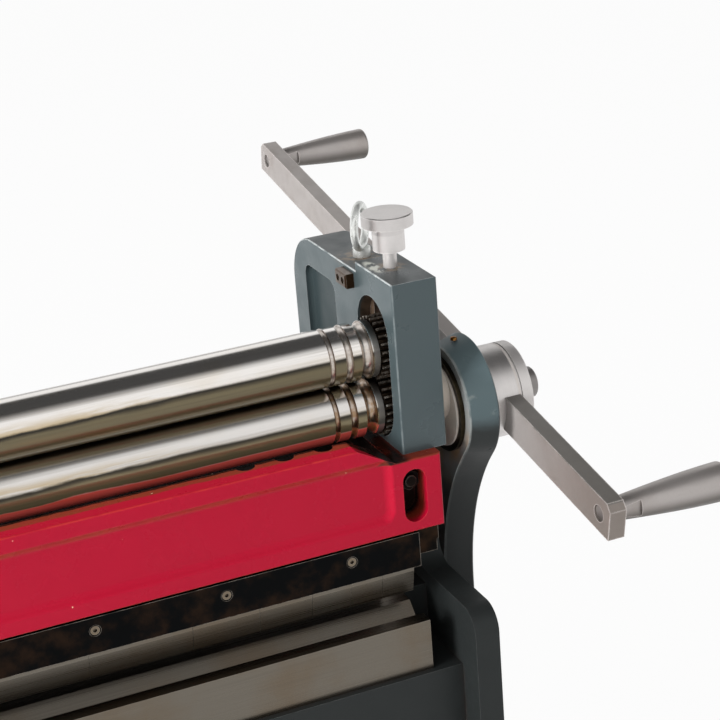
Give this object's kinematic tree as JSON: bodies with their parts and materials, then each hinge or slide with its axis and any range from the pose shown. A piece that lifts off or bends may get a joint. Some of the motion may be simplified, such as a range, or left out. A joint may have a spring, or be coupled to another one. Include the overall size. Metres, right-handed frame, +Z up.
{
  "type": "combination sheet metal machine",
  "caption": "Hand-cranked sheet metal machine: slip rolls on a moving ram, with a press brake in front and a shear with back gauge behind, between two floor frames.",
  "frame": {"origin": "middle of the foot bolt pattern, on the floor under the pinch rolls", "axes": "+X along the rolls to the end with the wire grooves, +Y to the back, +Z up"},
  "size_m": [1.4048, 0.6353, 0.7065],
  "materials": {
    "crimson_paint": "gloss",
    "charcoal_paint": "satin",
    "slate_paint": "satin",
    "polished_roll": "polished",
    "bright_steel": "satin",
    "handle_steel": "satin",
    "oiled_steel": "oiled",
    "black_steel": "black oxide",
    "tool_steel": "ground",
    "bronze_bush": "oiled"
  },
  "bodies": {
    "frame": {"side_frame_left": "charcoal_paint", "side_frame_right": "charcoal_paint", "bed": "charcoal_paint", "v_die": "tool_steel", "lower_blade": "tool_steel", "lower_blade_screws": "black_steel", "guide_gib_left": "oiled_steel", "guide_gib_right": "oiled_steel", "anchor_pin_left": "bright_steel", "anchor_pin_right": "bright_steel", "tie_rod": "oiled_steel", "tie_nuts": "bright_steel", "bed_bolts": "bright_steel", "gauge_rods": "bright_steel"},
    "ram": {"ram": "crimson_paint", "punch_backing": "oiled_steel", "punch_clamp_bar": "black_steel", "clamp_screws": "black_steel", "punch_segments": "tool_steel", "upper_blade": "tool_steel", "upper_blade_screws": "black_steel", "housing_bolts": "bright_steel", "roll_housing_left": "slate_paint", "roll_housing_right": "slate_paint", "stop_block_left": "black_steel", "stop_block_right": "black_steel", "eye_bolt_left": "bright_steel", "eye_bolt_right": "bright_steel"},
    "main_shaft": {"lower_roll": "polished_roll", "drive_gear_left": "oiled_steel", "drive_gear_right": "oiled_steel", "eccentric_left": "bright_steel", "eccentric_right": "bright_steel", "crank_hub_left": "bright_steel", "crank_hub_right": "bright_steel", "crank_bar_left": "handle_steel", "crank_bar_right": "handle_steel", "crank_handle_front_left": "handle_steel", "crank_handle_front_right": "handle_steel", "crank_handle_rear_left": "handle_steel", "crank_handle_rear_right": "handle_steel"},
    "rod_left": {"connecting_rod_left": "charcoal_paint", "rod_bush_left": "bronze_bush"},
    "rod_right": {"connecting_rod_right": "charcoal_paint", "rod_bush_right": "bronze_bush"},
    "top_carrier": {"top_block_left": "oiled_steel", "top_block_right": "oiled_steel"},
    "top_roll": {"top_roll": "polished_roll", "top_gear_left": "oiled_steel", "top_gear_right": "oiled_steel"},
    "top_knob_left": {"top_knob_left": "bright_steel"},
    "top_knob_right": {"top_knob_right": "bright_steel"},
    "rear_carrier": {"rear_block_left": "oiled_steel", "rear_block_right": "oiled_steel"},
    "rear_roll": {"rear_roll": "polished_roll"},
    "rear_knob_left": {"rear_knob_left": "bright_steel"},
    "rear_knob_right": {"rear_knob_right": "bright_steel"},
    "back_gauge": {"gauge_bar": "tool_steel"},
    "hold_down": {"hold_down_bar": "tool_steel", "hold_down_pins": "tool_steel"}
  },
  "joints": [
    {"name": "ram_stroke", "type": "slide", "parent": "frame", "child": "ram", "axis": [0, 0, -1], "range_m": [0, 0.023]},
    {"name": "crank_turn", "type": "hinge", "parent": "ram", "child": "main_shaft", "pos_m": [0, 0, 0.5664], "axis": [1, 0, 0], "continuous": true},
    {"name": "rod_left_swing", "type": "hinge", "parent": "main_shaft", "child": "rod_left", "pos_m": [-0.5825, 0, 0.5549], "axis": [1, 0, 0], "continuous": true},
    {"name": "rod_right_swing", "type": "hinge", "parent": "main_shaft", "child": "rod_right", "pos_m": [0.5825, 0, 0.5549], "axis": [1, 0, 0], "continuous": true},
    {"name": "top_roll_lift", "type": "slide", "parent": "ram", "child": "top_carrier", "axis": [0, 0, 1], "range_m": [0, 0.003]},
    {"name": "top_roll_turn", "type": "hinge", "parent": "top_carrier", "child": "top_roll", "pos_m": [0, 0, 0.6095], "axis": [1, 0, 0], "continuous": true},
    {"name": "top_knob_right_turn", "type": "hinge", "parent": "top_carrier", "child": "top_knob_right", "pos_m": [0.5372, 0, 0.7], "axis": [0, 0, 1], "range_deg": [0, 720]},
    {"name": "top_knob_left_turn", "type": "hinge", "parent": "top_carrier", "child": "top_knob_left", "pos_m": [-0.5372, 0, 0.7], "axis": [0, 0, 1], "range_deg": [0, 720]},
    {"name": "rear_roll_lift", "type": "slide", "parent": "ram", "child": "rear_carrier", "axis": [0, 0, 1], "range_m": [0, 0.018]},
    {"name": "rear_roll_turn", "type": "hinge", "parent": "rear_carrier", "child": "rear_roll", "pos_m": [0, 0.102, 0.5594], "axis": [1, 0, 0], "continuous": true},
    {"name": "rear_knob_right_turn", "type": "hinge", "parent": "rear_carrier", "child": "rear_knob_right", "pos_m": [0.5185, 0.102, 0.46], "axis": [0, 0, 1], "range_deg": [0, 3702.86]},
    {"name": "rear_knob_left_turn", "type": "hinge", "parent": "rear_carrier", "child": "rear_knob_left", "pos_m": [-0.5185, 0.102, 0.46], "axis": [0, 0, 1], "range_deg": [0, 3702.86]},
    {"name": "back_gauge_slide", "type": "slide", "parent": "frame", "child": "back_gauge", "axis": [0, 1, 0], "range_m": [0, 0.18]},
    {"name": "hold_down_slide", "type": "slide", "parent": "ram", "child": "hold_down", "axis": [0, 0, 1], "range_m": [0, 0.0175]}
  ],
  "couplings": [
    {"joint": "rod_left_swing", "follows": "crank_turn", "ratio": -1},
    {"joint": "rod_right_swing", "follows": "crank_turn", "ratio": -1},
    {"joint": "top_roll_turn", "follows": "crank_turn", "ratio": -1},
    {"joint": "top_knob_right_turn", "follows": "top_roll_lift", "rad_per_m": 4188.8},
    {"joint": "top_knob_left_turn", "follows": "top_roll_lift", "rad_per_m": 4188.8},
    {"joint": "rear_knob_right_turn", "follows": "rear_roll_lift", "rad_per_m": 3590.4},
    {"joint": "rear_knob_left_turn", "follows": "rear_roll_lift", "rad_per_m": 3590.4},
    {"joint": "hold_down_slide", "follows": "ram_stroke", "ratio": 0.75}
  ]
}
